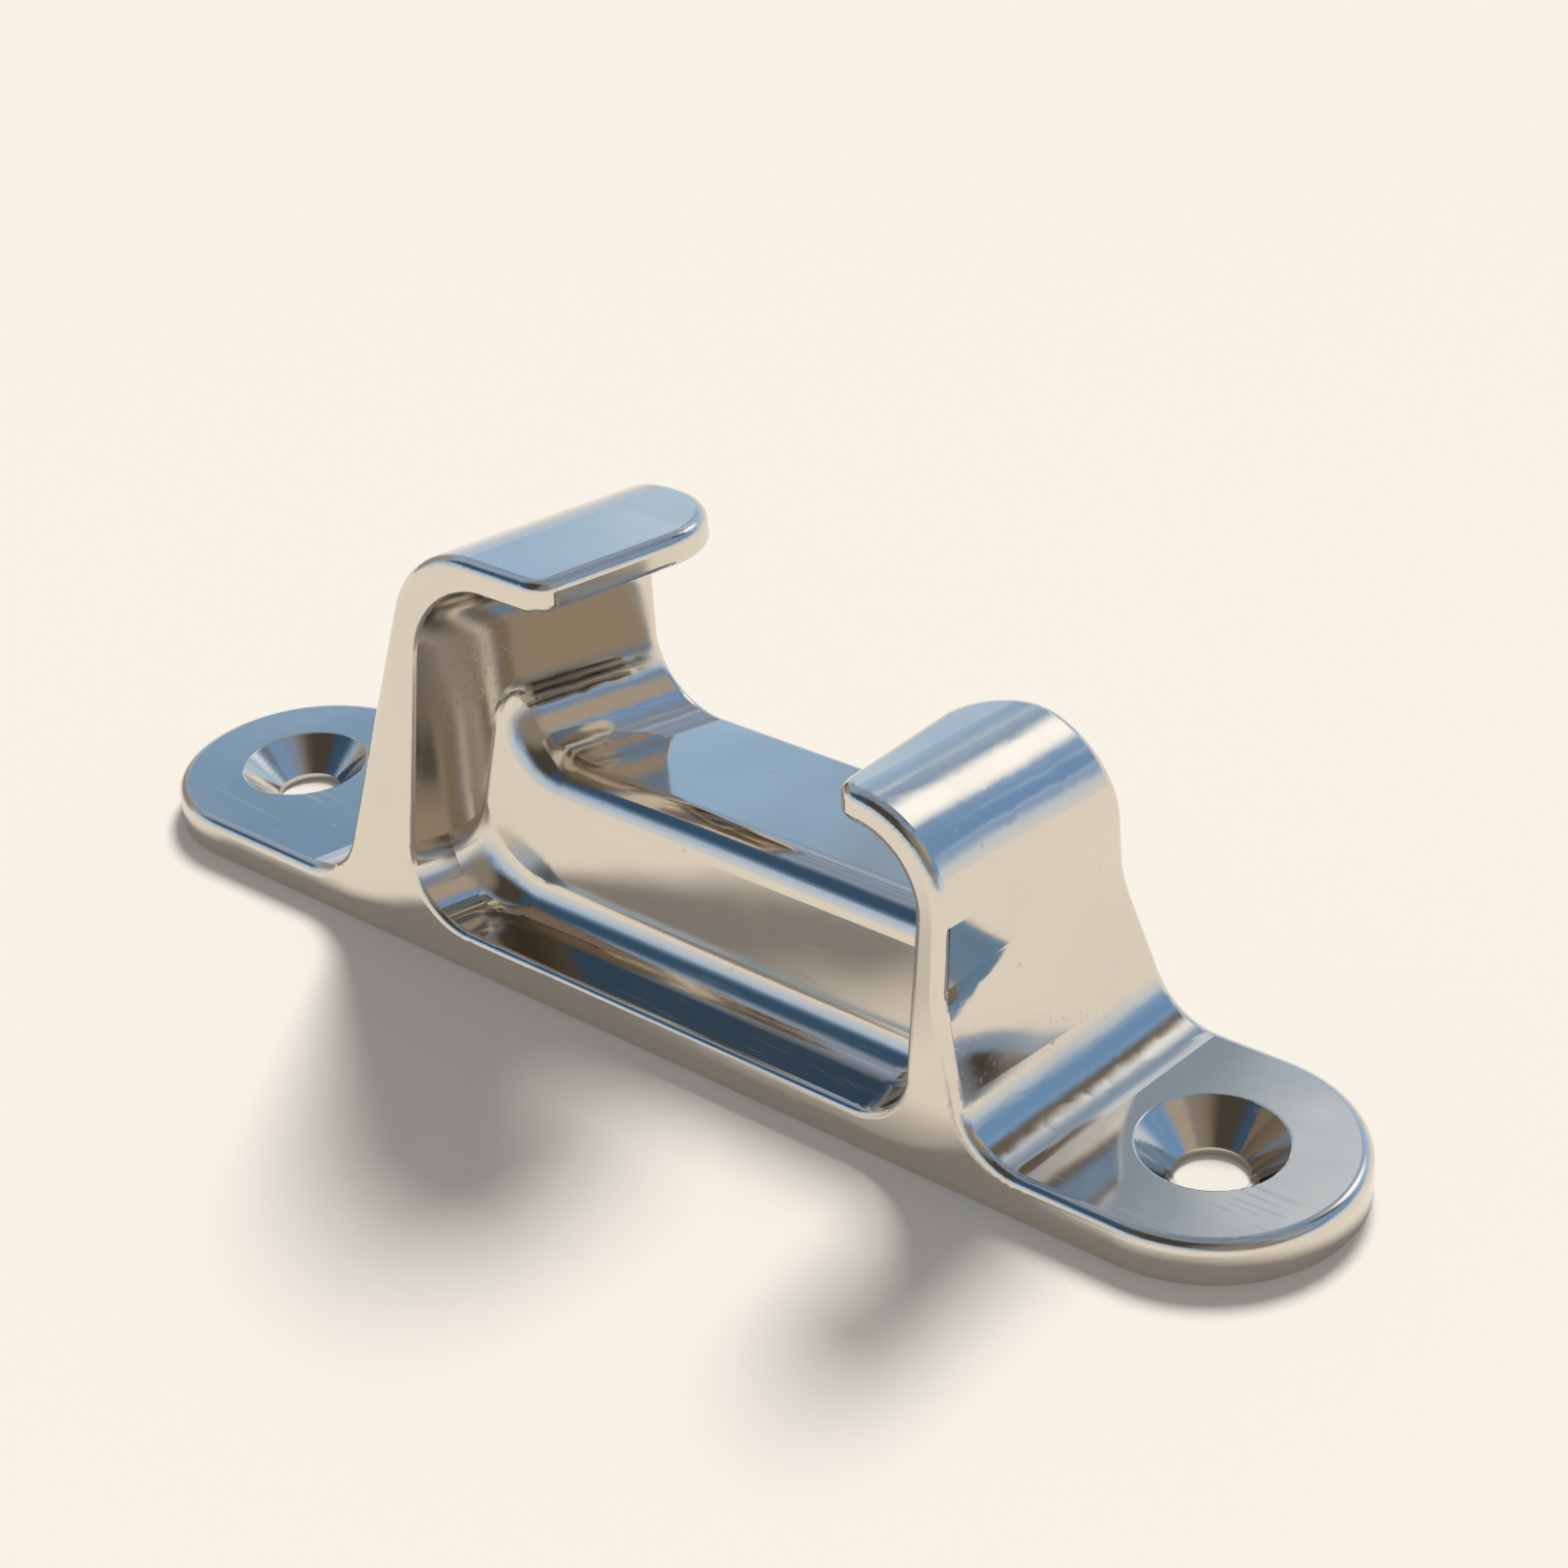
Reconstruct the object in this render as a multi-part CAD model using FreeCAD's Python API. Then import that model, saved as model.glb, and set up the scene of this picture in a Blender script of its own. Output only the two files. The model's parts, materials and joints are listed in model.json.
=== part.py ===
import FreeCAD, Part
import math
import os

os.makedirs("parts", exist_ok=True)

# A bow chock in one polished casting: +X runs along the plate towards the low horn,
# -Y is the outboard side, +Z is up. The origin lies under the plate, midway between
# the two screw holes. Millimetres and degrees.

# Plate
PLATE_LENGTH = 151.4
PLATE_WIDTH = 30.0
PLATE_THICKNESS = 4.4

# Screw holes, each the same distance in from its end of the plate
HOLE_END_DISTANCE = 14.4
SCREW_HOLE_DIA = 7.2
SINK_DIA = 14.3
SINK_ANGLE = 90.0
SINK_RIM_ROUND = 0.3

# Tall horn, at -X; outlines are drawn on the outboard face and carried inboard.
# Its foot stands off the screw hole, and the other places are counted from the foot.
TALL_HEIGHT = 47.3
TALL_HOLE_DISTANCE = 22.4
TALL_FACE_RUN = 13.7
TALL_WALL_FOOT = 10.9
TALL_WALL_HEAD = 14.9
TALL_REACH = 32.3
TALL_TONGUE_THICKNESS = 3.3
TALL_CROWN_RADIUS = 11.0
TALL_HOLLOW_RADIUS = 10.0
TALL_OUTER_ROOT_RADIUS = 8.0
TALL_THROAT_RADIUS = 7.5
TALL_SKEW_ANGLE = 14.0
TALL_WALL_SKEW_ANGLE = 20.0
TALL_TIP_BACK_RADIUS = 7.5

# Low horn, at +X; its top falls a little inboard and its foot is skewed more than its top
LOW_HEIGHT = 38.0
LOW_HOLE_DISTANCE = 16.7
LOW_NECK_RUN = 3.0
LOW_NECK_SHARE = 0.5
LOW_NECK_RADIUS = 14.0
LOW_FACE_RUN = 2.6
LOW_WALL_FOOT = 7.4
LOW_WALL_HEAD = 5.7
LOW_REACH = 15.2
LOW_TONGUE_THICKNESS = 3.2
LOW_CROWN_RADIUS = 10.5
LOW_OUTER_ROOT_RADIUS = 7.0
LOW_ROOT_SKEW_ANGLE = 6.5
LOW_TOP_SKEW_ANGLE = 2.0
LOW_TIP_SKEW_ANGLE = -4.0
LOW_WALL_SKEW_ANGLE = 3.0
LOW_TOP_FALL_ANGLE = 4.5
LOW_TIP_BACK_RADIUS = 7.5

# Rounding inside the low horn, as shares of the room between its tongue and the raised floor
LOW_THROAT_SHARE = 0.54
LOW_HOLLOW_SHARE = 0.65
LOW_HOLLOW_BACK_SHARE = 0.40

# Outboard and inboard faces of the horns lean towards each other
SIDE_DRAFT_ANGLE = 4.0
SIDE_BEND_RADIUS = 40.0
SIDE_BEND_RISE = 3.0

# Floor of the throat: low outboard, raised inboard
SADDLE_HEIGHT = 20.5
SADDLE_STEP_Y = -5.6
SADDLE_STEP_ANGLE = 82.0
SADDLE_STEP_RADIUS = 4.0

# Rounding of the tongues' corners in plan, and of the outward edges
TIP_FRONT_RADIUS = 3.0
OUTLINE_ROUND = 1.2
THROAT_EDGE_ROUND = 0.8

# How far the building pieces run over, into or past each other
FOOT_RUN = 7.0
HOLLOW_REACH = 40.0
BURIED_Z = 1.0
BITE = 1.5
SIDE_PASS = 1.0
TIP_PASS = 2.0
OVERRUN = 5.0
JOIN_TOLERANCE = 1e-4


def vec(x, y, z):
    return FreeCAD.Vector(x, y, z)


def drift(angle):
    """Millimetres sideways for each millimetre inboard."""
    return math.tan(math.radians(angle))


HALF_WIDTH = PLATE_WIDTH / 2
HOLE_X = PLATE_LENGTH / 2 - HOLE_END_DISTANCE

TALL_ROOT_X = TALL_HOLE_DISTANCE - HOLE_X
TALL_CORNER_X = TALL_ROOT_X + TALL_FACE_RUN
TALL_WALL_ROOT_X = TALL_ROOT_X + TALL_WALL_FOOT
TALL_WALL_TOP_X = TALL_ROOT_X + TALL_WALL_HEAD
TALL_TIP_X = TALL_ROOT_X + TALL_REACH
TALL_UNDERSIDE = TALL_HEIGHT - TALL_TONGUE_THICKNESS

LOW_ROOT_X = HOLE_X - LOW_HOLE_DISTANCE
LOW_NECK_X = LOW_ROOT_X - LOW_NECK_RUN
LOW_NECK_HEIGHT = LOW_NECK_SHARE * LOW_HEIGHT
LOW_CORNER_X = LOW_ROOT_X - LOW_FACE_RUN
LOW_WALL_ROOT_X = LOW_ROOT_X - LOW_WALL_FOOT
LOW_WALL_TOP_X = LOW_ROOT_X - LOW_WALL_HEAD
LOW_TIP_X = LOW_ROOT_X - LOW_REACH
LOW_UNDERSIDE = LOW_HEIGHT - LOW_TONGUE_THICKNESS
LOW_BACK_UNDERSIDE = LOW_UNDERSIDE - PLATE_WIDTH * drift(LOW_TOP_FALL_ANGLE)
LOW_ROOM = LOW_BACK_UNDERSIDE - SADDLE_HEIGHT
LOW_THROAT_RADIUS = LOW_THROAT_SHARE * LOW_ROOM
LOW_HOLLOW_RADIUS = LOW_HOLLOW_SHARE * LOW_ROOM
LOW_HOLLOW_BACK_RADIUS = LOW_HOLLOW_BACK_SHARE * LOW_ROOM

TALL_LEAN = (TALL_WALL_TOP_X - TALL_WALL_ROOT_X) / (TALL_UNDERSIDE - PLATE_THICKNESS)
LOW_LEAN = (LOW_WALL_TOP_X - LOW_WALL_ROOT_X) / (LOW_UNDERSIDE - PLATE_THICKNESS)


def rounded_edges(corners, place, closed):
    """Lines and arcs through corners (a, b, radius); each radius rounds its corner."""
    points = [place(a, b) for a, b, _ in corners]
    count = len(points)
    starts = []
    ends = []
    arcs = []
    for i, (_, _, radius) in enumerate(corners):
        corner = points[i]
        first = corner
        last = corner
        arc = None
        inner = closed or 0 < i < count - 1
        if radius > 0 and inner:
            to_last = (points[i - 1] - corner).normalize()
            to_next = (points[(i + 1) % count] - corner).normalize()
            half_angle = to_last.getAngle(to_next) / 2
            setback = radius / math.tan(half_angle)
            bisector = (to_last + to_next).normalize()
            middle = corner + bisector * (radius / math.sin(half_angle) - radius)
            first = corner + to_last * setback
            last = corner + to_next * setback
            arc = Part.Arc(first, middle, last).toShape()
        starts.append(first)
        ends.append(last)
        arcs.append(arc)
    edges = []
    for i in range(count):
        if arcs[i]:
            edges.append(arcs[i])
        following = starts[(i + 1) % count]
        if (closed or i < count - 1) and (following - ends[i]).Length > JOIN_TOLERANCE:
            edges.append(Part.makeLine(ends[i], following))
    return Part.Wire(edges)


def station(corners, y):
    """Outline at depth y through corners (x, z, radius, skew, fall)."""
    inboard = y + HALF_WIDTH
    moved = []
    for x, z, radius, skew, fall in corners:
        moved.append((x + inboard * drift(skew), z - inboard * drift(fall), radius))
    return rounded_edges(moved, lambda x, z: vec(x, y, z), True)


def between(outboard_corners, inboard_corners):
    """Ruled solid from the outboard outline to the inboard one."""
    near = station(outboard_corners, -HALF_WIDTH - OVERRUN)
    far = station(inboard_corners, HALF_WIDTH + OVERRUN)
    return Part.makeLoft([near, far], True, True)


def carried(corners):
    """Solid from the outboard to the inboard side; each corner follows its own slant."""
    return between(corners, corners)


def plate():
    r = HALF_WIDTH
    e = PLATE_LENGTH / 2 - r
    outline = Part.Wire([
        Part.makeLine(vec(-e, -r, 0), vec(e, -r, 0)),
        Part.Arc(vec(e, -r, 0), vec(e + r, 0, 0), vec(e, r, 0)).toShape(),
        Part.makeLine(vec(e, r, 0), vec(-e, r, 0)),
        Part.Arc(vec(-e, r, 0), vec(-e - r, 0, 0), vec(-e, -r, 0)).toShape(),
    ])
    return Part.Face(outline).extrude(vec(0, 0, PLATE_THICKNESS))


def tall_horn():
    t = PLATE_THICKNESS
    under = TALL_UNDERSIDE
    skew = TALL_SKEW_ANGLE
    wall = TALL_WALL_SKEW_ANGLE
    block = carried([
        (TALL_ROOT_X - FOOT_RUN, BURIED_Z, 0, skew, 0),
        (TALL_ROOT_X - FOOT_RUN, t, 0, skew, 0),
        (TALL_ROOT_X, t, TALL_OUTER_ROOT_RADIUS, skew, 0),
        (TALL_CORNER_X, TALL_HEIGHT, TALL_CROWN_RADIUS, skew, 0),
        (TALL_TIP_X, TALL_HEIGHT, 0, skew, 0),
        (TALL_TIP_X, BURIED_Z, 0, skew, 0),
    ])
    hollow = carried([
        (TALL_WALL_ROOT_X, t, 0, wall, 0),
        (TALL_WALL_TOP_X, under, TALL_HOLLOW_RADIUS, wall, 0),
        (TALL_TIP_X + HOLLOW_REACH, under, 0, wall, 0),
        (TALL_TIP_X + HOLLOW_REACH, t, 0, wall, 0),
    ])
    return block.cut(hollow)


def low_horn():
    t = PLATE_THICKNESS
    under = LOW_UNDERSIDE
    root = LOW_ROOT_SKEW_ANGLE
    top = LOW_TOP_SKEW_ANGLE
    tip = LOW_TIP_SKEW_ANGLE
    wall = LOW_WALL_SKEW_ANGLE
    fall = LOW_TOP_FALL_ANGLE
    wall_top = math.degrees(math.atan(drift(wall) - LOW_LEAN * drift(fall)))
    block = carried([
        (LOW_ROOT_X + FOOT_RUN, BURIED_Z, 0, root, 0),
        (LOW_ROOT_X + FOOT_RUN, t, 0, root, 0),
        (LOW_ROOT_X, t, LOW_OUTER_ROOT_RADIUS, root, 0),
        (LOW_NECK_X, LOW_NECK_HEIGHT, LOW_NECK_RADIUS, top, 0),
        (LOW_CORNER_X, LOW_HEIGHT, LOW_CROWN_RADIUS, top, fall),
        (LOW_TIP_X, LOW_HEIGHT, 0, tip, fall),
        (LOW_TIP_X, BURIED_Z, 0, tip, 0),
    ])
    outboard_hollow, inboard_hollow = [[
        (LOW_WALL_ROOT_X, t, 0, wall, 0),
        (LOW_WALL_TOP_X, under, radius, wall_top, fall),
        (LOW_TIP_X - HOLLOW_REACH, under, 0, wall_top, fall),
        (LOW_TIP_X - HOLLOW_REACH, t, 0, wall, 0),
    ] for radius in (LOW_HOLLOW_RADIUS, LOW_HOLLOW_BACK_RADIUS)]
    hollow = between(outboard_hollow, inboard_hollow)
    return block.cut(hollow)


def side_y(z):
    """Half width between the leaning side faces at height z."""
    return HALF_WIDTH - (z - PLATE_THICKNESS - SIDE_BEND_RISE) * drift(SIDE_DRAFT_ANGLE)


def drafted_band():
    """Room between the two leaning side faces; upright up to the plate's top."""
    bend_z = PLATE_THICKNESS + SIDE_BEND_RISE
    top = TALL_HEIGHT + OVERRUN
    wire = rounded_edges([
        (-HALF_WIDTH, -OVERRUN, 0),
        (-HALF_WIDTH, bend_z, SIDE_BEND_RADIUS),
        (-side_y(top), top, 0),
        (side_y(top), top, 0),
        (HALF_WIDTH, bend_z, SIDE_BEND_RADIUS),
        (HALF_WIDTH, -OVERRUN, 0),
    ], lambda y, z: vec(-PLATE_LENGTH, y, z), True)
    return Part.Face(wire).extrude(vec(2 * PLATE_LENGTH, 0, 0))


def corner_waste(tip_x, skew, z, radius, edge, side):
    """Plan shape at height z of what rounding takes off one corner of a tongue's end.

    edge is -1 for the outboard corner and +1 for the inboard one.
    side is +1 when the tongue points to +X, -1 when it points to -X.
    """
    y = edge * side_y(z)
    corner = vec(tip_x + (HALF_WIDTH + y) * drift(skew), y, z)
    to_root = vec(-side, 0, 0)
    to_tip = vec(-edge * drift(skew), -edge, 0).normalize()
    half_angle = to_tip.getAngle(to_root) / 2
    setback = radius / math.tan(half_angle)
    bisector = (to_tip + to_root).normalize()
    middle = corner + bisector * (radius / math.sin(half_angle) - radius)
    first = corner + to_root * setback
    last = corner + to_tip * setback
    past_face = vec(0, edge * OVERRUN, 0)
    past_tip = vec(side * OVERRUN, 0, 0)
    return Part.Wire([
        Part.Arc(first, middle, last).toShape(),
        Part.makeLine(last, last + past_tip),
        Part.makeLine(last + past_tip, corner + past_tip + past_face),
        Part.makeLine(corner + past_tip + past_face, first + past_face),
        Part.makeLine(first + past_face, first),
    ])


def round_tongue(body, tip_x, skew, span, back_radius, side):
    """Rounds both corners of a tongue's end in plan, between the two heights of span."""
    for edge, radius in ((-1, TIP_FRONT_RADIUS), (1, back_radius)):
        plans = [corner_waste(tip_x, skew, z, radius, edge, side) for z in span]
        body = body.cut(Part.makeLoft(plans, True, True))
    return body


def saddle_floor():
    """Corners (y, z, radius) of the throat floor, from the outboard to the inboard edge."""
    crest_y = SADDLE_STEP_Y + (SADDLE_HEIGHT - PLATE_THICKNESS) / drift(SADDLE_STEP_ANGLE) / 2
    foot_y = 2 * SADDLE_STEP_Y - crest_y
    return [
        (-HALF_WIDTH - SIDE_PASS, PLATE_THICKNESS, 0),
        (foot_y, PLATE_THICKNESS, SADDLE_STEP_RADIUS),
        (crest_y, SADDLE_HEIGHT, SADDLE_STEP_RADIUS),
        (HALF_WIDTH + SIDE_PASS, SADDLE_HEIGHT, 0),
    ]


def saddle():
    """Raised part of the throat floor, reaching a little way into both horns."""
    edge = HALF_WIDTH + SIDE_PASS
    corners = saddle_floor() + [(edge, BURIED_Z, 0), (-edge, BURIED_Z, 0)]
    wire = rounded_edges(corners, lambda y, z: vec(-PLATE_LENGTH / 2, y, z), True)
    block = Part.Face(wire).extrude(vec(PLATE_LENGTH, 0, 0))
    left = TALL_WALL_ROOT_X - BITE
    right = LOW_WALL_ROOT_X + BITE
    far = 2 * edge
    plan = Part.makePolygon([
        vec(left, -edge, 0),
        vec(right, -edge, 0),
        vec(right + far * drift(LOW_WALL_SKEW_ANGLE), edge, 0),
        vec(left + far * drift(TALL_WALL_SKEW_ANGLE), edge, 0),
        vec(left, -edge, 0),
    ])
    return block.common(Part.Face(plan).extrude(vec(0, 0, TALL_HEIGHT)))


def throat_corner(wall_x, lean, radius, skew, side):
    """Concave corner between a horn's inner wall and the throat floor.

    side is +1 when the throat lies towards +X of the wall, -1 when towards -X.
    lean is the wall's drift in x for each millimetre of height.
    """
    t = PLATE_THICKNESS
    tilt = math.atan(lean)
    setback = radius / math.tan((math.pi / 2 - side * tilt) / 2)
    up_x = math.sin(tilt) * setback
    up_z = math.cos(tilt) * setback
    bite = BITE * side
    start_y = -HALF_WIDTH - SIDE_PASS
    foot_x = wall_x - SIDE_PASS * drift(skew)
    corners = [
        (foot_x, t, radius),
        (foot_x + setback * side, t, 0),
        (foot_x + setback * side, t - BITE, 0),
        (foot_x - bite, t - BITE, 0),
        (foot_x - bite + up_x, t + up_z, 0),
        (foot_x + up_x, t + up_z, 0),
    ]
    wire = rounded_edges(corners, lambda x, z: vec(x, start_y, z), True)
    slant = FreeCAD.Matrix()
    slant.A12 = drift(skew)
    slant.A13 = lean
    path = rounded_edges(saddle_floor(), lambda y, z: vec(0, y, z), False).transformGeometry(slant)
    path = Part.Wire(Part.sortEdges(path.Edges)[0])
    first = wire.Vertexes[0]
    path.translate(vec(first.X, start_y, first.Z) - path.Vertexes[0].Point)
    pipe = Part.BRepOffsetAPI.MakePipeShell(path)
    pipe.setTrihedronMode(vec(0, 0, 0), vec(0, 1, 0))
    pipe.add(wire)
    pipe.build()
    pipe.makeSolid()
    return pipe.shape()


def screw_hole(x):
    """Clearance hole with a conical sink for a flat head."""
    sink = SINK_DIA / 2
    hole = SCREW_HOLE_DIA / 2
    depth = (sink - hole) / drift(SINK_ANGLE / 2)
    cone = Part.makeCone(hole, sink, depth, vec(x, 0, PLATE_THICKNESS - depth))
    drill = Part.makeCylinder(hole, PLATE_THICKNESS + 2 * OVERRUN, vec(x, 0, -OVERRUN))
    return drill.fuse(cone)


def is_sharp(solid, edge):
    """Whether two faces meet along the edge in an outward corner."""
    middle = edge.valueAt((edge.FirstParameter + edge.LastParameter) / 2)
    faces = solid.ancestorsOfType(edge, Part.Face)
    normals = [face.normalAt(*face.Surface.parameter(middle)) for face in faces]
    if len(normals) < 2 or normals[0].getAngle(normals[1]) < math.radians(20):
        return False
    outside = middle + (normals[0] + normals[1]).normalize() * 0.05
    return not solid.isInside(outside, JOIN_TOLERANCE, False)


def sharp_loops(solid):
    """Closed loops of the outward edges that show above the deck."""
    above = [edge for edge in solid.Edges if edge.BoundBox.ZMin > PLATE_THICKNESS - TIP_PASS]
    edges = [edge for edge in above if is_sharp(solid, edge)]
    loops = []
    for wire in Part.sortEdges(edges):
        centres = [edge.CenterOfMass for edge in wire]
        loops.append([
            edge for edge in edges
            if any(edge.CenterOfMass.isEqual(centre, JOIN_TOLERANCE) for centre in centres)
        ])
    return loops


def rounding_of(loop):
    """Radius for a sink's rim, an outline around one plate end, or the edge of the throat."""
    low_x = min(edge.BoundBox.XMin for edge in loop)
    high_x = max(edge.BoundBox.XMax for edge in loop)
    if high_x - low_x < 1.5 * SINK_DIA:
        return SINK_RIM_ROUND
    if max(-low_x, high_x) > HOLE_X:
        return OUTLINE_ROUND
    return THROAT_EDGE_ROUND


def round_edges(solid):
    """Rounds every loop of outward edges, the largest rounding first."""
    for _ in range(len(sharp_loops(solid))):
        loop = max(sharp_loops(solid), key=rounding_of)
        solid = solid.makeFillet(rounding_of(loop), loop).Solids[0]
    return solid


def casting():
    upper = tall_horn().multiFuse([
        low_horn(),
        saddle(),
        throat_corner(TALL_WALL_ROOT_X, TALL_LEAN, TALL_THROAT_RADIUS, TALL_WALL_SKEW_ANGLE, 1),
        throat_corner(LOW_WALL_ROOT_X, LOW_LEAN, LOW_THROAT_RADIUS, LOW_WALL_SKEW_ANGLE, -1),
    ], JOIN_TOLERANCE)
    body = upper.common(drafted_band()).multiFuse([plate()], JOIN_TOLERANCE)
    tall_span = (TALL_UNDERSIDE - TIP_PASS, TALL_HEIGHT + TIP_PASS)
    low_span = (LOW_BACK_UNDERSIDE - TIP_PASS, LOW_HEIGHT + TIP_PASS)
    body = round_tongue(body, TALL_TIP_X, TALL_SKEW_ANGLE, tall_span, TALL_TIP_BACK_RADIUS, 1)
    body = round_tongue(body, LOW_TIP_X, LOW_TIP_SKEW_ANGLE, low_span, LOW_TIP_BACK_RADIUS, -1)
    body = body.cut(screw_hole(-HOLE_X)).cut(screw_hole(HOLE_X))
    return round_edges(body.removeSplitter().Solids[0])


if __name__ == "__main__":
    solid = casting()
    print("valid", solid.isValid(), "faces", len(solid.Faces), "volume", round(solid.Volume))
    solid.exportStep("parts/bow_chock.step")
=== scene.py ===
"""Looks of a bow chock: one mirror-polished stainless casting on a pale floor."""

import json
import logging
import math
from dataclasses import dataclass
from enum import Enum
from typing import Any

import bpy
from mathutils import Matrix, Vector

LOG = logging.getLogger("bow_chock")
MM = 0.001

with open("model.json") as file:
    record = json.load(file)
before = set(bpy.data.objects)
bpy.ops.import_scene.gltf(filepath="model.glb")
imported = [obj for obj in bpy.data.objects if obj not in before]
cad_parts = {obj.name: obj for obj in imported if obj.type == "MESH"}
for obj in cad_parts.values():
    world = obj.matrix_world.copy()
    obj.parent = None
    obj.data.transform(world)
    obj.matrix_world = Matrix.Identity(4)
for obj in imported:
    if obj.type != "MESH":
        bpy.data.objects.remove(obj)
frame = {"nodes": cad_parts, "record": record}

Colour = tuple[float, float, float]
Stops = tuple[tuple[float, Colour], ...]  # places from 0 to 1, each with its colour
Span = tuple[float, float]  # where a mask starts to change, and how far it takes


# ---------------------------------------------------------------- shader maths


class Tree:
    """A node tree that adds its nodes through one method.

    Attributes:
        columns: how many nodes stand side by side in the editor.
        node_width: the room that one has across.
        node_height: the room that it has down.
    """

    columns: int = 12
    node_width: int = 180
    node_height: int = 220

    def __init__(self, tree: bpy.types.NodeTree) -> None:
        """Keeps the tree that is written to.

        Args:
            tree: the node tree.
        """
        self.tree = tree

    def node(
        self, kind: str, settings: dict[str, Any] | None = None, **sockets: Any
    ) -> bpy.types.Node:
        """Adds a node.

        Args:
            kind: the node's type name.
            settings: the node's own settings, set before its sockets.
            sockets: values or links of its inputs, by name with underscores for
                blanks, or by number after a leading "i".

        Returns:
            The node.
        """
        row, column = divmod(len(self.tree.nodes), self.columns)
        made = self.tree.nodes.new(kind)
        made.location = (column * self.node_width, -row * self.node_height)
        for name, value in (settings or {}).items():
            if name == "stops":
                self._stops(made, value)
            else:
                setattr(made, name, value)
        for name, value in sockets.items():
            self._feed(self._socket(made, name), value)
        return made

    def value(
        self, kind: str, settings: dict[str, Any] | None = None, **sockets: Any
    ) -> "Value":
        """Adds a node and wraps its output.

        Args:
            kind: the node's type name.
            settings: the node's own settings.
            sockets: values or links of its inputs.

        Returns:
            The wrapped output.
        """
        return Value(self, self._output(self.node(kind, settings, **sockets)))

    def blend(self, share: Any, first: Any, second: Any) -> bpy.types.NodeSocket:
        """Mixes two colours.

        Args:
            share: share of the second colour.
            first: the first colour, or an output that gives it.
            second: the second.

        Returns:
            The mixed colour.
        """
        first, second = (
            (*colour, 1.0) if isinstance(colour, tuple) else colour
            for colour in (first, second)
        )
        settings = {"data_type": "RGBA"}
        return self._output(
            self.node("ShaderNodeMix", settings, Factor=share, A=first, B=second)
        )

    def drawn(
        self,
        place: bpy.types.NodeSocket,
        turn: tuple[float, float, float],
        along: float,
        across: float,
    ) -> bpy.types.NodeSocket:
        """Turns and scales coordinates, so that a pattern on them is drawn out.

        Args:
            place: the coordinates.
            turn: how far they turn about each axis, in radians.
            along: how fine the pattern is along its lines.
            across: how fine it is across them.

        Returns:
            The new coordinates.
        """
        return self.node(
            "ShaderNodeMapping",
            {"vector_type": "POINT"},
            Vector=place,
            Rotation=turn,
            Scale=(along, across, across),
        ).outputs["Vector"]

    def _feed(self, socket: bpy.types.NodeSocket, value: Any) -> None:
        """Links or sets one input.

        Args:
            socket: the input.
            value: a Value, an output or a plain value.
        """
        if isinstance(value, Value):
            value = value.socket
        if isinstance(value, bpy.types.NodeSocket):
            self.tree.links.new(value, socket)
        else:
            socket.default_value = value

    @staticmethod
    def _socket(node: bpy.types.Node, name: str) -> bpy.types.NodeSocket:
        """Finds an input.

        Args:
            node: the node.
            name: the input's name with underscores for blanks, or its number after
                an "i".

        Returns:
            The input.
        """
        if name[0] == "i" and name[1:].isdigit():
            return node.inputs[int(name[1:])]
        wanted = name.replace("_", " ")
        return next(s for s in node.inputs if s.name == wanted and s.enabled)

    @staticmethod
    def _output(node: bpy.types.Node) -> bpy.types.NodeSocket:
        """Finds the first output that is switched on."""
        return next(socket for socket in node.outputs if socket.enabled)

    @staticmethod
    def _stops(node: bpy.types.Node, stops: Stops) -> None:
        """Gives a colour ramp its stops.

        Args:
            node: the ramp's node.
            stops: the stops, from the lowest place to the highest.
        """
        elements = node.color_ramp.elements
        while len(elements) < len(stops):
            elements.new(1.0)
        for element, (place, colour) in zip(elements, stops):
            element.position = place
            element.color = (*colour, 1.0)


class Value:
    """A number in a node tree that can be written in plain sums."""

    def __init__(self, tree: Tree, socket: bpy.types.NodeSocket) -> None:
        """Keeps the socket and the tree it is in.

        Args:
            tree: the tree.
            socket: the output that holds the number.
        """
        self.tree = tree
        self.socket = socket

    def _math(self, operation: str, *numbers: "Value | float") -> "Value":
        """Adds a Math node.

        Args:
            operation: the node's operation.
            numbers: its inputs.

        Returns:
            The result.
        """
        inputs = {f"i{index}": number for index, number in enumerate(numbers)}
        return self.tree.value("ShaderNodeMath", {"operation": operation}, **inputs)

    def __add__(self, other: "Value | float") -> "Value":
        """Sum."""
        return self._math("ADD", self, other)

    def __radd__(self, other: float) -> "Value":
        """Sum with the number first."""
        return self._math("ADD", other, self)

    def __sub__(self, other: "Value | float") -> "Value":
        """Difference."""
        return self._math("SUBTRACT", self, other)

    def __rsub__(self, other: float) -> "Value":
        """Difference with the number first."""
        return self._math("SUBTRACT", other, self)

    def __mul__(self, other: "Value | float") -> "Value":
        """Product."""
        return self._math("MULTIPLY", self, other)

    def __rmul__(self, other: float) -> "Value":
        """Product with the number first."""
        return self._math("MULTIPLY", other, self)

    def root(self) -> "Value":
        """Square root."""
        return self._math("SQRT", self)

    def sine(self) -> "Value":
        """Sine of an angle in radians."""
        return self._math("SINE", self)

    def size(self) -> "Value":
        """The number without its sign."""
        return self._math("ABSOLUTE", self)

    def over(self, start: float, length: float) -> "Value":
        """A mask that rises smoothly from 0 to 1 as this number grows.

        Args:
            start: where the mask starts to rise.
            length: how far it takes to reach 1.

        Returns:
            The mask.
        """
        return self.tree.value(
            "ShaderNodeMapRange",
            {"interpolation_type": "SMOOTHSTEP"},
            Value=self,
            From_Min=start,
            From_Max=start + length,
        )

    def under(self, start: float, length: float) -> "Value":
        """A mask that falls smoothly from 1 to 0 as this number grows.

        Args:
            start: where the mask starts to fall.
            length: how far it takes to reach 0.

        Returns:
            The mask.
        """
        return 1.0 - self.over(start, length)


# ---------------------------------------------------------------- finishes


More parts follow.
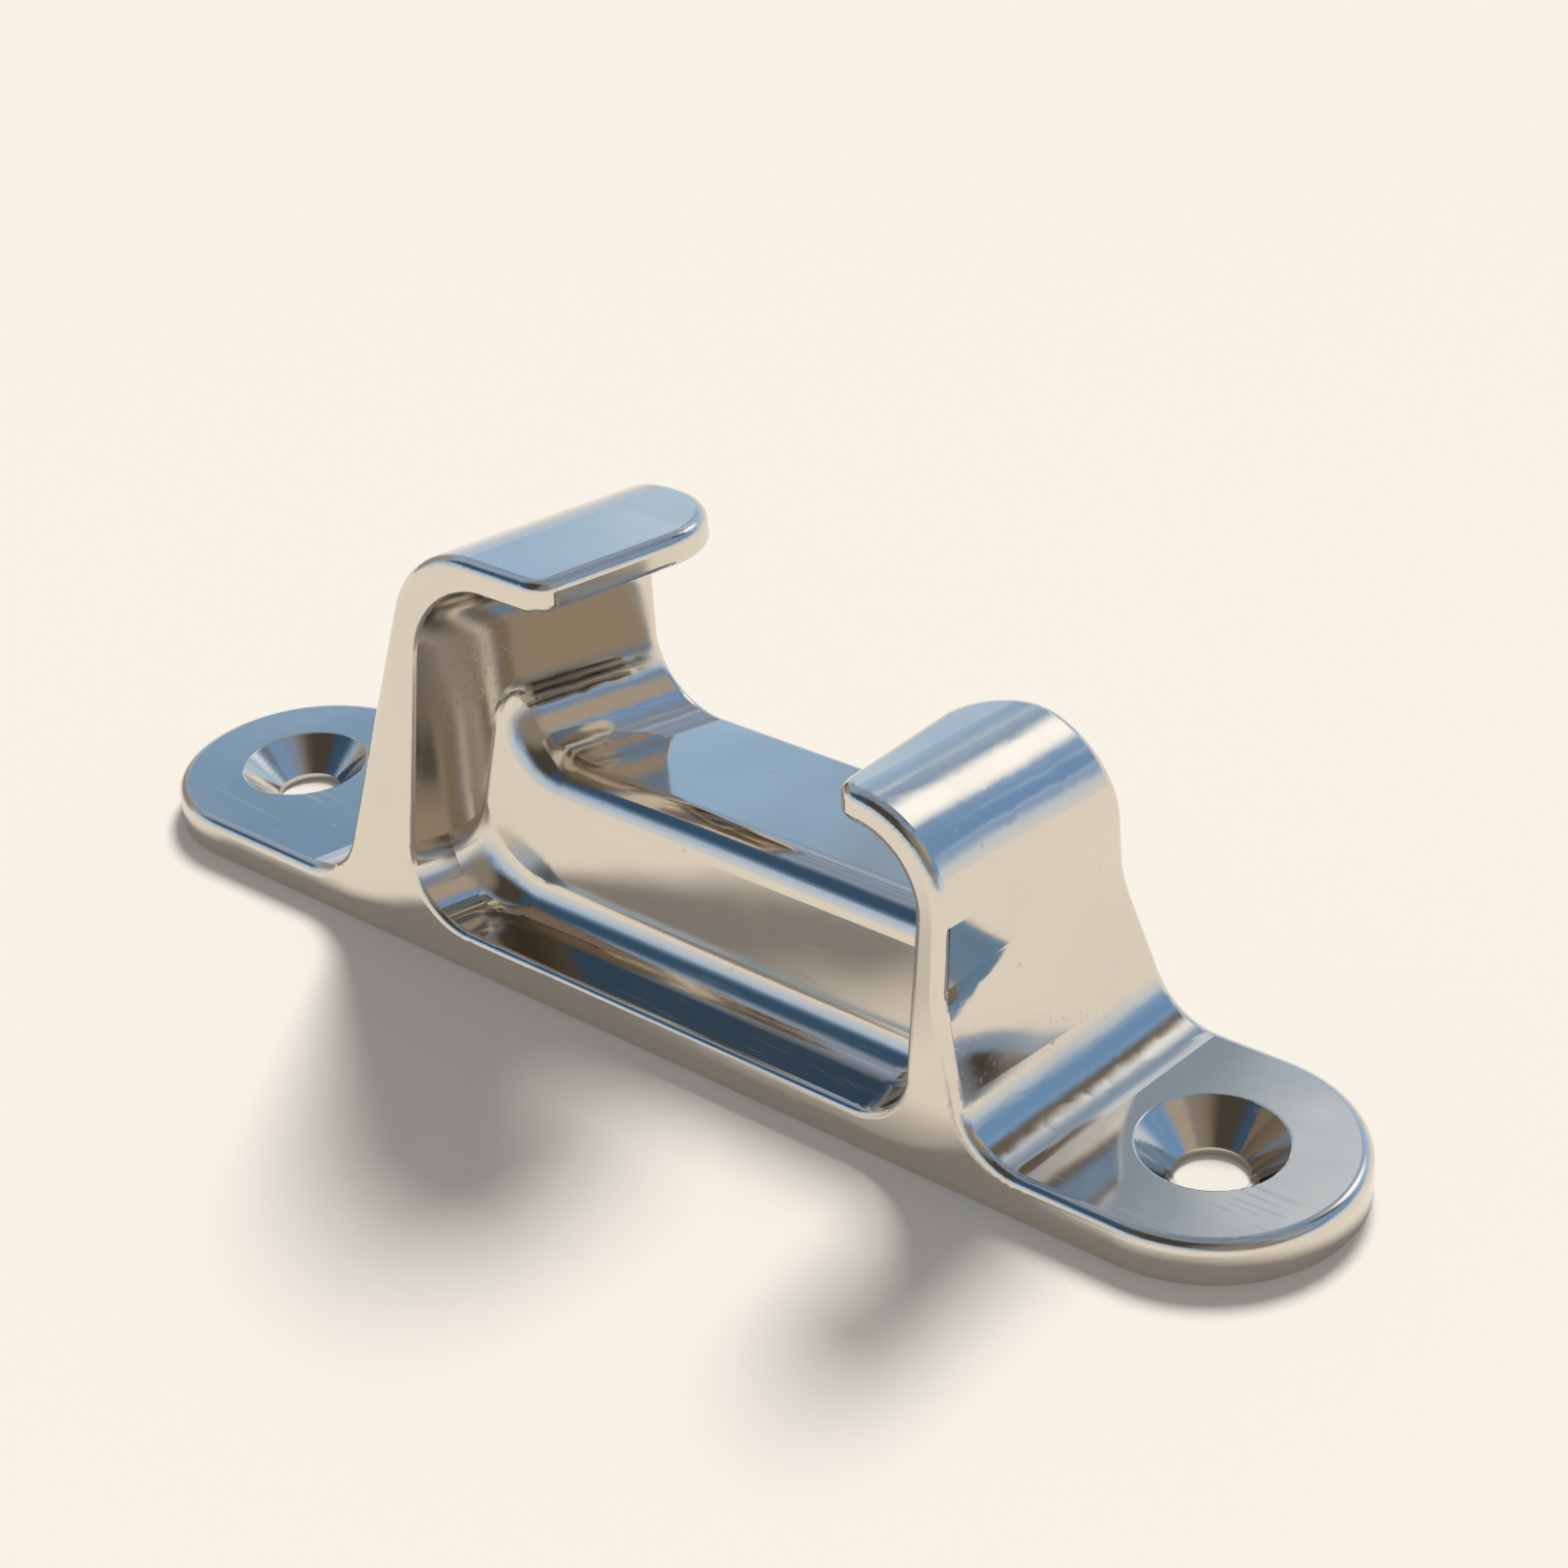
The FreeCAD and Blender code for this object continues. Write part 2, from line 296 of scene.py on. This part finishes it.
def screw_spacing() -> float:
    """The distance between the two screws' axes, from the frame's mounts."""
    mounts = {mount["name"]: mount for mount in frame["record"]["mounts"]}
    return mounts["deck_screws"]["dims"]["spacing_x_mm"] * MM


class Wear(Enum):
    """How worn a polish is, as the share of its scratches and specks that show."""

    NEW = 0.0
    LIGHT = 1.0


@dataclass(frozen=True)
class Grain:
    """A noise pattern and the soft mask that is cut from it.

    Attributes:
        scale: how fine it is.
        detail: how many finer layers it has.
        cut: where on the noise the mask rises.
    """

    scale: float
    detail: float
    cut: Span = (0.0, 1.0)

    def noise(self, tree: Tree, place: bpy.types.NodeSocket) -> Value:
        """The plain noise at a place."""
        return tree.value(
            "ShaderNodeTexNoise", Vector=place, Scale=self.scale, Detail=self.detail
        )

    def mask(self, tree: Tree, place: bpy.types.NodeSocket) -> Value:
        """The mask at a place, from 0 to 1."""
        return self.noise(tree, place).over(*self.cut)


@dataclass(frozen=True)
class Mark:
    """What one kind of mark does to the polish where it lies.

    Attributes:
        dulling: the roughness that it adds.
        stain: the share of the dull tint that it adds.
        depth: how deep it is cut, in millimetres.
    """

    dulling: float
    stain: float = 0.0
    depth: float = 0.0


Marks = tuple[tuple[Mark, Value], ...]


@dataclass(frozen=True)
class PolishedSteel:
    """Mirror-polished stainless steel with buffing haze, hair lines and small specks.

    Attributes:
        tint: the colour of what it reflects.
        dull_tint: the same where the polish is dull or pitted.
        roughness: the roughness of the clean mirror.
        wear: how worn it is.
        haze: what the buffing's haze does.
        hair: what the hair lines do.
        speck: what the pits and dried drops do.
        ring: what the turned rings do.
        patches: where the haze lies.
        wiped: the haze's wiped streaks.
        wiped_share: the streaks' share of the haze.
        wiped_turn: which way the streaks run in the plate, in radians.
        wiped_fineness: how fine they are along and across.
        handled: where the hair lines lie.
        hair_grain: the hair lines themselves.
        hair_tilt: how far they are tilted out of the plate, in radians.
        hair_ways: which ways they run, in radians, each with its fineness.
        hair_stretch: how many times longer than wide they are.
        speck_places: where the specks lie.
        speck_fineness: how close together they are.
        speck_edge: a speck's soft edge, as a share of the distance between two.
        sink_place: the distance of a screw sink's axis from the middle.
        sink_radius: the radius within which a sink has its rings.
        sink_edge: how far outwards from there they take to end.
        ring_pitch: the distance between two rings.
        waves: the buffing wheel's waves.
        wave_height: their height, in millimetres.
        ripples: finer ripples on them.
        ripple_height: their height, in millimetres.
    """

    tint: Colour = (0.74, 0.685, 0.61)
    dull_tint: Colour = (0.64, 0.59, 0.52)
    roughness: float = 0.08
    wear: Wear = Wear.LIGHT
    haze: Mark = Mark(dulling=0.10, stain=0.30)
    hair: Mark = Mark(dulling=0.10)
    speck: Mark = Mark(dulling=0.22, stain=0.5, depth=0.0016)
    ring: Mark = Mark(dulling=0.03, depth=0.0012)
    patches: Grain = Grain(70.0, 4.0, (0.42, 0.30))
    wiped: Grain = Grain(1.0, 3.0, (0.50, 0.30))
    wiped_share: float = 0.3
    wiped_turn: float = -0.5
    wiped_fineness: tuple[float, float] = (60.0, 420.0)
    handled: Grain = Grain(45.0, 1.0, (0.50, 0.15))
    hair_grain: Grain = Grain(1.0, 0.0, (0.71, 0.08))
    hair_tilt: tuple[float, float] = (0.2, 0.1)
    hair_ways: tuple[tuple[float, float], ...] = (
        (0.35, 1500.0),
        (-0.9, 1900.0),
        (1.3, 1700.0),
    )
    hair_stretch: float = 14.0
    speck_places: Grain = Grain(190.0, 2.0, (0.60, 0.04))
    speck_fineness: float = 420.0
    speck_edge: Span = (0.10, 0.07)
    sink_place: float = screw_spacing() / 2.0
    sink_radius: float = 7.0 * MM
    sink_edge: float = 0.15 * MM
    ring_pitch: float = 0.45 * MM
    waves: Grain = Grain(55.0, 1.0)
    wave_height: float = 0.22
    ripples: Grain = Grain(260.0, 1.0)
    ripple_height: float = 0.006

    def material(self) -> bpy.types.Material:
        """Builds the material.

        Returns:
            The material.
        """
        made = bpy.data.materials.new("polished_steel")
        made.use_nodes = True
        made.node_tree.nodes.clear()
        tree = Tree(made.node_tree)
        place = tree.node("ShaderNodeTexCoord").outputs["Object"]
        marks = (
            (self.haze, self._clouds(tree, place)),
            (self.hair, self._hair_lines(tree, place)),
            (self.speck, self._specks(tree, place)),
            (self.ring, self._turned_rings(tree, place)),
        )
        shader = tree.node(
            "ShaderNodeBsdfPrincipled",
            Metallic=1.0,
            Base_Color=self._colour(tree, marks),
            Roughness=self._dullness(marks),
            Normal=self._relief(tree, place, marks),
        )
        tree.node("ShaderNodeOutputMaterial", Surface=shader.outputs["BSDF"])
        return made

    def _clouds(self, tree: Tree, place: bpy.types.NodeSocket) -> Value:
        """Broad patches and wiped streaks where the polish is duller, from 0 to 1.

        Args:
            tree: the material's tree.
            place: the Object coordinates.

        Returns:
            The mask.
        """
        streaks = tree.drawn(place, (0.0, 0.0, self.wiped_turn), *self.wiped_fineness)
        patches = self.patches.mask(tree, place) * (1.0 - self.wiped_share)
        return patches + self.wiped.mask(tree, streaks) * self.wiped_share

    def _hair_lines(self, tree: Tree, place: bpy.types.NodeSocket) -> Value:
        """Fine scratches that run a few ways, in patches, from 0 to 1.

        Args:
            tree: the material's tree.
            place: the Object coordinates.

        Returns:
            The mask.
        """
        lines = []
        for turn, fineness in self.hair_ways:
            along = fineness / self.hair_stretch
            drawn = tree.drawn(place, (*self.hair_tilt, turn), along, fineness)
            lines.append(self.hair_grain.mask(tree, drawn))
        return sum(lines) * self.handled.mask(tree, place) * self.wear.value

    def _specks(self, tree: Tree, place: bpy.types.NodeSocket) -> Value:
        """Small pits and dried drops, from 0 to 1.

        Args:
            tree: the material's tree.
            place: the Object coordinates.

        Returns:
            The mask.
        """
        away = tree.value(
            "ShaderNodeTexVoronoi",
            {"feature": "F1"},
            Vector=place,
            Scale=self.speck_fineness,
        )
        places = self.speck_places.mask(tree, place)
        return away.under(*self.speck_edge) * places * self.wear.value

    def _turned_rings(self, tree: Tree, place: bpy.types.NodeSocket) -> Value:
        """Faint rings that the countersink left in the two sinks, from 0 to 1.

        Args:
            tree: the material's tree.
            place: the Object coordinates.

        Returns:
            The mask.
        """
        split = tree.node("ShaderNodeSeparateXYZ", Vector=place)
        across, inboard = (Value(tree, split.outputs[name]) for name in "XY")
        aside = across.size() - self.sink_place
        away = (aside * aside + inboard * inboard).root()
        waves = (away * (2.0 * math.pi / self.ring_pitch)).sine() * 0.5 + 0.5
        return waves * away.under(self.sink_radius, self.sink_edge)

    def _colour(self, tree: Tree, marks: Marks) -> bpy.types.NodeSocket:
        """Steel, a little darker where marks stain it."""
        stain = sum(mask * mark.stain for mark, mask in marks if mark.stain)
        return tree.blend(stain, self.tint, self.dull_tint)

    def _dullness(self, marks: Marks) -> Value:
        """The roughness, with what every mark adds to it."""
        return sum((mask * mark.dulling for mark, mask in marks), self.roughness)

    def _relief(
        self, tree: Tree, place: bpy.types.NodeSocket, marks: Marks
    ) -> bpy.types.NodeSocket:
        """The buffing's slight waves, and the marks that are cut into them.

        Args:
            tree: the material's tree.
            place: the Object coordinates.
            marks: each kind of mark and its mask.

        Returns:
            The normal.
        """
        waves = self.waves.noise(tree, place) * self.wave_height
        height = waves + self.ripples.noise(tree, place) * self.ripple_height
        for mark, mask in marks:
            if mark.depth:
                height = height - mask * mark.depth
        bump = tree.node(
            "ShaderNodeBump", Strength=1.0, Distance=1.0 * MM, Height=height
        )
        return bump.outputs["Normal"]


@dataclass(frozen=True)
class Matt:
    """A plain surface that mirrors next to nothing.

    Attributes:
        colour: its colour.
        roughness: its roughness.
        shine: how much it mirrors, from 0 to 1.
    """

    colour: Colour
    roughness: float = 0.9
    shine: float = 0.1

    def material(self, name: str) -> bpy.types.Material:
        """Builds the material.

        Args:
            name: the material's name.

        Returns:
            The material.
        """
        made = bpy.data.materials.new(name)
        made.use_nodes = True
        shader = made.node_tree.nodes["Principled BSDF"]
        shader.inputs["Base Color"].default_value = (*self.colour, 1.0)
        shader.inputs["Roughness"].default_value = self.roughness
        shader.inputs["Specular IOR Level"].default_value = self.shine
        return made


# ---------------------------------------------------------------- the casting


@dataclass(frozen=True)
class Casting:
    """The whole chock: plate, two horns and the throat, in one polished piece.

    Attributes:
        node: the CAD node that has its shape.
        finish: its polish.
    """

    node: str = "bow_chock"
    finish: PolishedSteel = PolishedSteel()

    def build(self) -> bpy.types.Object:
        """Gives the casting its polish.

        Returns:
            The casting.
        """
        piece = frame["nodes"][self.node]
        steel = self.finish.material()
        for slot in piece.material_slots:
            slot.material = steel
        return piece


# ---------------------------------------------------------------- studio


def heading(turn: float, height: float) -> Vector:
    """A direction from the chock.

    Args:
        turn: degrees from inboard towards the low horn.
        height: degrees above the deck.

    Returns:
        The unit vector.
    """
    side, up = math.radians(turn), math.radians(height)
    level = math.cos(up)
    return Vector((math.sin(side) * level, math.cos(side) * level, math.sin(up)))


@dataclass(frozen=True)
class Floor:
    """A pale floor under the chock.

    Attributes:
        half: half its width.
        drop: how far it lies below the plate's underside.
        finish: its surface.
    """

    half: float = 4.0
    drop: float = 0.02 * MM
    finish: Matt = Matt((0.88, 0.845, 0.79))

    def build(self) -> bpy.types.Object:
        """Lays the floor.

        Returns:
            The floor.
        """
        signs = ((-1, -1), (1, -1), (1, 1), (-1, 1))
        places = [(self.half * x, self.half * y, 0.0) for x, y in signs]
        mesh = bpy.data.meshes.new("floor")
        mesh.from_pydata(places, [], [(0, 1, 2, 3)])
        mesh.materials.append(self.finish.material("floor"))
        made = bpy.data.objects.new("floor", mesh)
        made.location.z = -self.drop
        bpy.context.scene.collection.objects.link(made)
        return made


@dataclass(frozen=True)
class Lamp:
    """A soft far lamp that gives the floor its light and the chock its shadow.

    Attributes:
        turn: where it stands, in degrees from inboard towards the low horn.
        height: its height above the deck, in degrees.
        spread: how wide it looks from the chock, in degrees.
        strength: the light that a surface facing it gets, in watts per square metre.
        colour: its colour.
    """

    turn: float = -25.0
    height: float = 46.0
    spread: float = 18.0
    strength: float = 3.25
    colour: Colour = (1.0, 0.97, 0.92)

    def build(self) -> bpy.types.Object:
        """Adds the lamp, which the polish doesn't mirror as a spot.

        Returns:
            The lamp.
        """
        ray = heading(self.turn, self.height)
        data = bpy.data.lights.new("key", "SUN")
        data.angle = math.radians(self.spread)
        data.energy = self.strength
        data.color = self.colour
        made = bpy.data.objects.new("key", data)
        made.location = ray
        made.rotation_mode = "QUATERNION"
        made.rotation_quaternion = (-ray).to_track_quat("-Z", "Y")
        made.visible_glossy = False
        bpy.context.scene.collection.objects.link(made)
        return made


@dataclass(frozen=True)
class Patch:
    """A soft patch of the surroundings, as a softbox, a screen or a cloud makes.

    Attributes:
        turn: its direction, in degrees from inboard towards the low horn.
        height: its height above the deck, in degrees.
        reach: how far from its middle it fades out, in degrees.
        core: how far from its middle it is at its fullest, in degrees.
        colour: its colour.
    """

    turn: float
    height: float
    reach: float
    core: float
    colour: Colour

    def over(
        self,
        tree: Tree,
        ray: bpy.types.NodeSocket,
        around: bpy.types.NodeSocket,
    ) -> bpy.types.NodeSocket:
        """Lays it over the surroundings.

        Args:
            tree: the world's tree.
            ray: the direction that is looked in.
            around: the surroundings' colour so far.

        Returns:
            The colour with the patch in it.
        """
        middle = tuple(heading(self.turn, self.height))
        product = {"operation": "DOT_PRODUCT"}
        near = tree.value("ShaderNodeVectorMath", product, i0=ray, i1=middle)
        edge, core = (math.cos(math.radians(a)) for a in (self.reach, self.core))
        return tree.blend(near.over(edge, core - edge), around, self.colour)


@dataclass(frozen=True)
class Surroundings:
    """The sky, the dark front and the soft patches that the polish mirrors.

    Heights and sideways places are those of a direction of length 1.

    Attributes:
        sky: the sky's colour by height.
        deep: its colour towards the low horn's end.
        deep_side: how far towards that end it sets in.
        raised: the height over which the deep colour and the shade set in.
        clouds: the pattern of thin clouds.
        haze: the colour of the clouds.
        haze_cut: where on the pattern they lie.
        shade: the colour between the clouds.
        shade_cut: where on the pattern it lies.
        cloud_share: how strongly both show.
        front: the colour in front of the outboard side.
        left_front: the same, on the tall horn's side.
        left_side: where sideways the one gives way to the other.
        front_side: how far outboard the front sets in.
        front_height: the height over which it sets in.
        patches: soft patches in all this, the brightest one last.
        soft: the plain light that it gives to surfaces that aren't polished.
    """

    sky: Stops = (
        (0.00, (0.82, 0.82, 0.82)),
        (0.10, (0.72, 0.78, 0.85)),
        (0.38, (0.49, 0.69, 0.96)),
        (0.50, (0.38, 0.585, 0.87)),
        (0.64, (0.33, 0.46, 0.66)),
        (1.00, (0.24, 0.29, 0.38)),
    )
    deep: Colour = (0.19, 0.37, 0.67)
    deep_side: Span = (0.10, 0.50)
    raised: Span = (0.12, 0.22)
    clouds: Grain = Grain(8.0, 4.0)
    haze: Colour = (0.72, 0.80, 0.88)
    haze_cut: Span = (0.50, 0.22)
    shade: Colour = (0.20, 0.27, 0.38)
    shade_cut: Span = (0.28, 0.20)
    cloud_share: float = 0.5
    front: Colour = (0.075, 0.066, 0.053)
    left_front: Colour = (0.045, 0.10, 0.19)
    left_side: Span = (-0.50, 0.30)
    front_side: Span = (0.08, 0.30)
    front_height: Span = (0.30, 0.28)
    patches: tuple[Patch, ...] = (
        Patch(-55.0, 33.0, 9.0, 2.0, (0.22, 0.38, 0.60)),
        Patch(-36.0, 38.0, 9.0, 3.0, (0.28, 0.36, 0.46)),
        Patch(-41.0, 23.0, 6.0, 1.0, (0.62, 0.82, 1.00)),
        Patch(-26.0, 40.0, 6.0, 1.0, (0.72, 0.80, 0.90)),
        Patch(30.0, 50.0, 13.0, 3.0, (0.16, 0.13, 0.10)),
        Patch(118.0, 34.0, 38.0, 2.0, (0.30, 0.26, 0.21)),
        Patch(84.0, 40.0, 19.0, 3.0, (0.47, 0.405, 0.33)),
        Patch(-84.0, 14.0, 30.0, 4.0, (0.34, 0.32, 0.28)),
        Patch(9.0, 40.5, 15.0, 3.0, (1.35, 1.35, 1.35)),
    )
    soft: Colour = (0.33, 0.33, 0.33)

    def build(self) -> bpy.types.World:
        """Sets the surroundings up as the scene's world.

        Returns:
            The world.
        """
        world = bpy.data.worlds.new("studio")
        world.use_nodes = True
        world.node_tree.nodes.clear()
        tree = Tree(world.node_tree)
        ray = tree.node("ShaderNodeTexCoord").outputs["Generated"]
        around = self._with_front(tree, ray, self._sky(tree, ray))
        for patch in self.patches:
            around = patch.over(tree, ray, around)
        unpolished = tree.node("ShaderNodeLightPath").outputs["Is Diffuse Ray"]
        around = tree.blend(unpolished, around, self.soft)
        back = tree.node("ShaderNodeBackground", Color=around, Strength=1.0)
        tree.node("ShaderNodeOutputWorld", Surface=back.outputs["Background"])
        bpy.context.scene.world = world
        return world

    @staticmethod
    def _parts(tree: Tree, ray: bpy.types.NodeSocket) -> tuple[Value, Value, Value]:
        """Splits a direction.

        Args:
            tree: the world's tree.
            ray: the direction.

        Returns:
            How far it goes towards the low horn, inboard and up.
        """
        split = tree.node("ShaderNodeSeparateXYZ", Vector=ray)
        across, inboard, height = (Value(tree, split.outputs[name]) for name in "XYZ")
        return across, inboard, height

    def _sky(self, tree: Tree, ray: bpy.types.NodeSocket) -> bpy.types.NodeSocket:
        """The sky with its deep side and its clouds.

        Args:
            tree: the world's tree.
            ray: the direction that is looked in.

        Returns:
            Its colour.
        """
        across, _, height = self._parts(tree, ray)
        raised = height.over(*self.raised)
        clouds = self.clouds.noise(tree, ray)
        ramp = tree.node("ShaderNodeValToRGB", {"stops": self.sky}, Fac=height)
        deep = across.over(*self.deep_side) * raised
        haze = clouds.over(*self.haze_cut) * self.cloud_share
        shade = clouds.under(*self.shade_cut) * self.cloud_share * raised
        around = tree.blend(deep, ramp.outputs["Color"], self.deep)
        around = tree.blend(haze, around, self.haze)
        return tree.blend(shade, around, self.shade)

    def _with_front(
        self,
        tree: Tree,
        ray: bpy.types.NodeSocket,
        around: bpy.types.NodeSocket,
    ) -> bpy.types.NodeSocket:
        """Darkens the surroundings high up in front of the outboard side.

        Args:
            tree: the world's tree.
            ray: the direction that is looked in.
            around: the surroundings' colour so far.

        Returns:
            The colour with the dark front in it.
        """
        across, inboard, height = self._parts(tree, ray)
        left = across.under(*self.left_side)
        facing = (0.0 - inboard).over(*self.front_side)
        front = tree.blend(left, self.front, self.left_front)
        return tree.blend(facing * height.over(*self.front_height), around, front)


@dataclass(frozen=True)
class Camera:
    """The view of the chock from outboard, above the low horn's end.

    Attributes:
        azimuth: turn about the upright axis, in degrees.
        elevation: height above the horizon, in degrees.
        roll: turn of the picture, in degrees.
        distance: how far it is from the point it aims at.
        aim: that point, on the deck.
        lens: focal length, in millimetres.
        sensor: width of the sensor, in millimetres.
        near: the distance from which on it sees things.
        far: the distance up to which it sees them.
    """

    azimuth: float = 41.709
    elevation: float = 30.514
    roll: float = 4.072
    distance: float = 321.936 * MM
    aim: tuple[float, float] = (-16.774 * MM, 32.813 * MM)
    lens: float = 64.3
    sensor: float = 36.0
    near: float = 0.01
    far: float = 20.0

    def build(self) -> bpy.types.Object:
        """Sets up the scene's camera.

        Returns:
            The camera.
        """
        ahead, across, below = self._axes()
        eye = Vector((*self.aim, 0.0)) - ahead * self.distance
        data = bpy.data.cameras.new("camera")
        data.lens = self.lens
        data.sensor_width = self.sensor
        data.clip_start = self.near
        data.clip_end = self.far
        made = bpy.data.objects.new("camera", data)
        turned = Matrix((across, -below, -ahead)).transposed().to_4x4()
        made.matrix_world = Matrix.Translation(eye) @ turned
        bpy.context.scene.collection.objects.link(made)
        bpy.context.scene.camera = made
        return made

    def _axes(self) -> tuple[Vector, Vector, Vector]:
        """Works out how the camera is turned.

        Returns:
            The directions ahead, to the picture's right and down in it.
        """
        turn = math.radians(self.azimuth)
        up = math.radians(self.elevation)
        roll = math.radians(self.roll)
        level = math.cos(up)
        ahead = Vector(
            (-math.sin(turn) * level, math.cos(turn) * level, -math.sin(up))
        )
        right = Vector((math.cos(turn), math.sin(turn), 0.0))
        down = ahead.cross(right)
        across = right * math.cos(roll) + down * math.sin(roll)
        below = down * math.cos(roll) - right * math.sin(roll)
        return ahead, across, below


def main() -> None:
    """Builds the chock, its floor, its surroundings, the lamp and the camera."""
    logging.basicConfig(level=logging.INFO, format="%(name)s: %(message)s")
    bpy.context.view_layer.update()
    for piece in (Casting(), Floor(), Surroundings(), Lamp(), Camera()):
        made = piece.build()
        LOG.info("%s built: %s", type(piece).__name__, made.name)
    view = bpy.context.scene.view_settings
    view.view_transform = "Standard"


if __name__ == "__main__":
    main()
